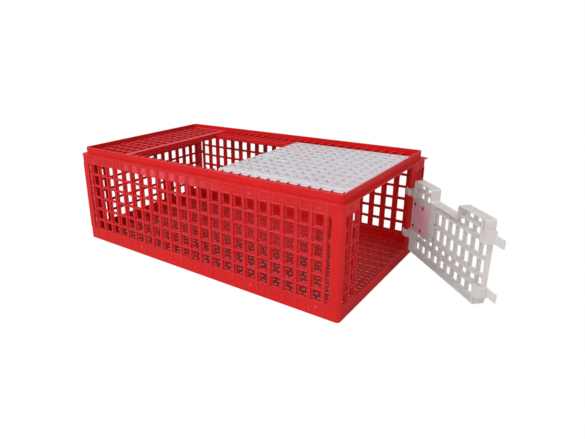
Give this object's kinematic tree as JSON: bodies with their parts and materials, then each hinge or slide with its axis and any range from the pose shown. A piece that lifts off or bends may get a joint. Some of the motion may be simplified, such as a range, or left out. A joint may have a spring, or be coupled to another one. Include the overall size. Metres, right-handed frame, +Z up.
{
  "type": "poultry transport crate",
  "caption": "Low openwork plastic box with pierced walls and slotted floor, a grid lid that slides along rails in the top, and a grid door hinged at one end.",
  "frame": {"origin": "under the middle of the crate's floor, on the plane it rests on", "axes": "+X towards the door end, along the long side; +Y towards the back long side; +Z up"},
  "size_m": [1.274, 0.57, 0.324],
  "materials": {
    "red_plastic": "satin moulded polyethylene, red",
    "pin_plastic": "satin moulded polyethylene, red",
    "lid_plastic": "satin moulded polyethylene, cool white",
    "door_plastic": "natural translucent polyethylene, warm white"
  },
  "bodies": {
    "crate": {"base": "red_plastic", "top_frame": "red_plastic", "front_panel": "red_plastic", "back_panel": "red_plastic", "closed_end_panel": "red_plastic", "latch_jamb": "red_plastic", "hinge_jamb": "red_plastic", "front_upper_pins": "pin_plastic", "front_lower_pins": "pin_plastic", "back_upper_pins": "pin_plastic", "back_lower_pins": "pin_plastic", "closed_end_upper_pins": "pin_plastic", "closed_end_lower_pins": "pin_plastic", "door_end_upper_pins": "pin_plastic", "door_end_lower_pins": "pin_plastic"},
    "lid": {"lid": "lid_plastic"},
    "door": {"door": "door_plastic", "door_plate": "red_plastic"}
  },
  "joints": [
    {"name": "lid_slide", "type": "slide", "parent": "crate", "child": "lid", "axis": [-1, 0, 0], "range_m": [0, 0.365]},
    {"name": "door_hinge", "type": "hinge", "parent": "crate", "child": "door", "pos_m": [0.4785, 0.181, 0.15], "axis": [0, 0, 1], "range_deg": [-46, 76]}
  ]
}
